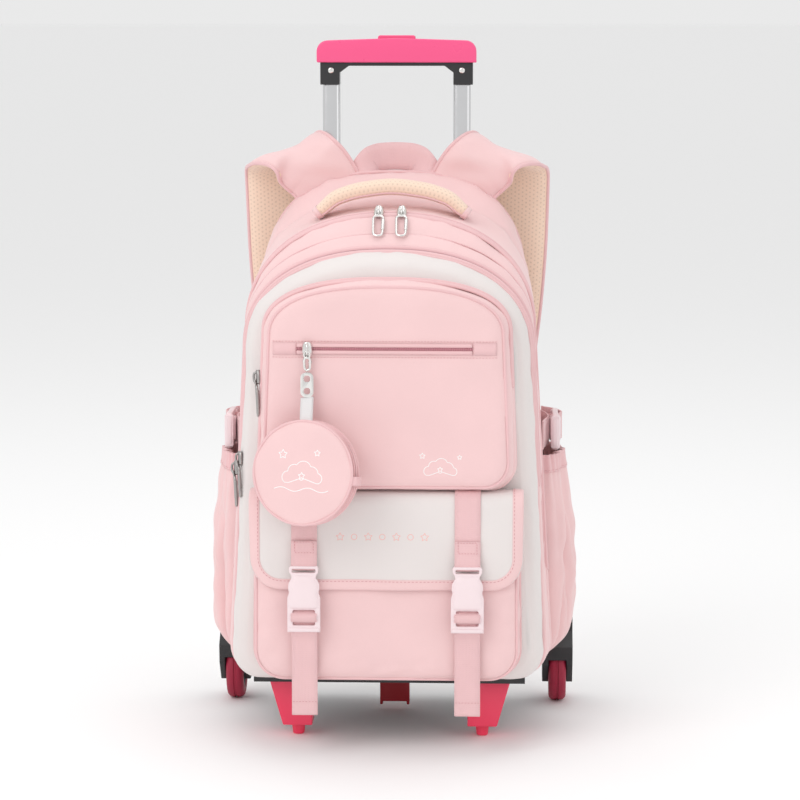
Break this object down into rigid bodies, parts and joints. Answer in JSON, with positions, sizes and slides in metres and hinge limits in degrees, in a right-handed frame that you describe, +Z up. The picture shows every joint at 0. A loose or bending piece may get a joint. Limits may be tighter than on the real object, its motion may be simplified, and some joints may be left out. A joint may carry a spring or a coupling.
{
  "type": "wheeled backpack",
  "caption": "Child's padded backpack on a small trolley with a telescopic handle, two rear wheels, front feet, buckled flap pocket, bottle pockets and a round coin purse.",
  "frame": {"origin": "floor level under the middle of the object's box", "axes": "+Z up, -Y out of the bag's front, +X to the viewer's right when facing the front"},
  "size_m": [0.328, 0.3066, 0.6145],
  "materials": {
    "pink_cloth": "woven nylon, matte",
    "white_cloth": "woven nylon, matte",
    "peach_mesh": "spacer mesh",
    "pink_webbing": "woven webbing",
    "grey_webbing": "woven webbing",
    "zip_tape": "zip tape and teeth",
    "pale_plastic": "satin",
    "black_plastic": "moulded, fine grain",
    "hot_pink_plastic": "moulded, glossy",
    "foot_plastic": "moulded, satin",
    "dark_red_plastic": "moulded, satin",
    "crimson_tyre": "moulded rubber",
    "tube_steel": "plated",
    "cast_metal": "die-cast, plated"
  },
  "bodies": {
    "bag_and_frame": {"back_panel": "peach_mesh", "base_tray": "black_plastic", "carry_handle": "peach_mesh", "centre_foot": "dark_red_plastic", "flap": "white_cloth", "flap_buckle_left": "pale_plastic", "flap_buckle_right": "pale_plastic", "flap_strap_left": "pink_webbing", "flap_strap_right": "pink_webbing", "flap_tail_left": "pink_webbing", "flap_tail_right": "pink_webbing", "front_foot_left": "foot_plastic", "front_foot_right": "foot_plastic", "front_puller_lower": "cast_metal", "front_puller_upper": "cast_metal", "front_shell": "white_cloth", "hang_loop": "pink_webbing", "lower_pocket": "pink_cloth", "main_puller_left": "cast_metal", "main_puller_right": "cast_metal", "main_shell": "pink_cloth", "main_zip": "zip_tape", "middle_puller": "cast_metal", "middle_shell": "pink_cloth", "middle_zip": "zip_tape", "outer_tube_left": "tube_steel", "outer_tube_right": "tube_steel", "pocket_puller": "cast_metal", "pocket_zip": "zip_tape", "purse": "pink_cloth", "purse_clasp": "cast_metal", "purse_strap": "grey_webbing", "shoulder_strap_left": "pink_cloth", "shoulder_strap_right": "pink_cloth", "side_buckle_left": "pale_plastic", "side_buckle_right": "pale_plastic", "side_pocket_left": "pink_cloth", "side_pocket_right": "pink_cloth", "side_strap_left": "pink_webbing", "side_strap_right": "pink_webbing", "strap_adjuster_left": "pale_plastic", "strap_adjuster_right": "pale_plastic", "strap_webbing_left": "pink_webbing", "strap_webbing_right": "pink_webbing", "top_bracket": "black_plastic", "upper_pocket": "pink_cloth", "welt_zip": "zip_tape", "wheel_housing_left": "black_plastic", "wheel_housing_right": "black_plastic"},
    "handle_middle": {"middle_tube_left": "tube_steel", "middle_tube_right": "tube_steel"},
    "handle_inner": {"inner_tube_left": "tube_steel", "inner_tube_right": "tube_steel", "grip": "black_plastic", "grip_cover": "hot_pink_plastic"},
    "handle_button": {"grip_button": "hot_pink_plastic"},
    "wheel_left": {"tyre_left": "crimson_tyre", "hub_left": "black_plastic"},
    "wheel_right": {"tyre_right": "crimson_tyre", "hub_right": "black_plastic"}
  },
  "joints": [
    {"name": "handle_lower_slide", "type": "slide", "parent": "bag_and_frame", "child": "handle_middle", "axis": [0, 0, 1], "range_m": [0, 0.24]},
    {"name": "handle_upper_slide", "type": "slide", "parent": "handle_middle", "child": "handle_inner", "axis": [0, 0, 1], "range_m": [-0.09, 0.19]},
    {"name": "button_press", "type": "slide", "parent": "handle_inner", "child": "handle_button", "axis": [0, 0, 1], "range_m": [-0.003, 0], "stiffness_N_per_m": 400},
    {"name": "wheel_left_spin", "type": "hinge", "parent": "bag_and_frame", "child": "wheel_left", "pos_m": [-0.1495, 0.12346, 0.029], "axis": [1, 0, 0], "continuous": true},
    {"name": "wheel_right_spin", "type": "hinge", "parent": "bag_and_frame", "child": "wheel_right", "pos_m": [0.1495, 0.12346, 0.029], "axis": [1, 0, 0], "continuous": true}
  ]
}
